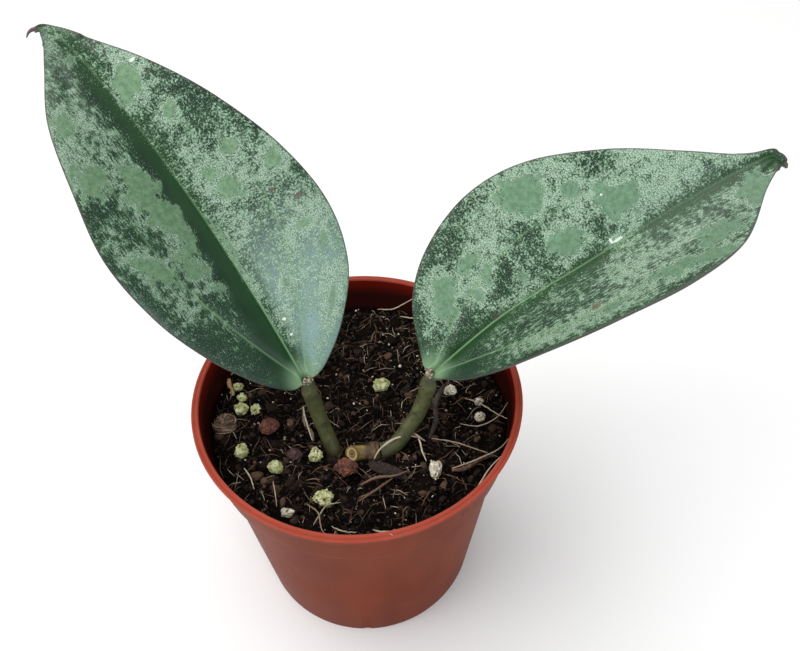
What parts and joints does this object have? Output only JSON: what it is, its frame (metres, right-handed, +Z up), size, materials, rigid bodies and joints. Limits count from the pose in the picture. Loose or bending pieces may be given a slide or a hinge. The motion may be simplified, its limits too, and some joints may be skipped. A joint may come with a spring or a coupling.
{
  "type": "potted hoya",
  "caption": "Young hoya in a small round nursery pot, with two broad pointed splash-marked leaves on short stalks rising from dark potting mix.",
  "frame": {"origin": "middle of the pot's underside, on the flat pad of its base", "axes": "+Z up along the pot's axis, +X towards the lower leaf that spreads to the right, -Y towards the front"},
  "size_m": [0.1709, 0.09, 0.1678],
  "materials": {
    "pot_plastic": "satin",
    "potting_soil": "matte",
    "stem_bark": "matte",
    "root": "matte",
    "petiole": "satin",
    "leaf_blade": "gloss",
    "perlite": "matte",
    "bark": "matte",
    "twig": "matte"
  },
  "bodies": {
    "root": {"pot": "pot_plastic", "soil": "potting_soil", "stem": "stem_bark", "roots": "root", "left_petiole": "petiole", "right_petiole": "petiole", "left_leaf": "leaf_blade", "right_leaf": "leaf_blade", "perlite_01": "perlite", "perlite_02": "perlite", "perlite_03": "perlite", "perlite_04": "perlite", "perlite_05": "perlite", "perlite_06": "perlite", "perlite_07": "perlite", "perlite_08": "perlite", "perlite_09": "perlite", "perlite_10": "perlite", "perlite_11": "perlite", "perlite_12": "perlite", "perlite_13": "perlite", "perlite_14": "perlite", "bark_chip_01": "bark", "bark_chip_02": "bark", "bark_chip_03": "bark", "bark_chip_04": "bark", "bark_chip_05": "bark", "twig_01": "twig", "twig_02": "twig", "twig_03": "twig", "twig_04": "twig"}
  },
  "joints": []
}
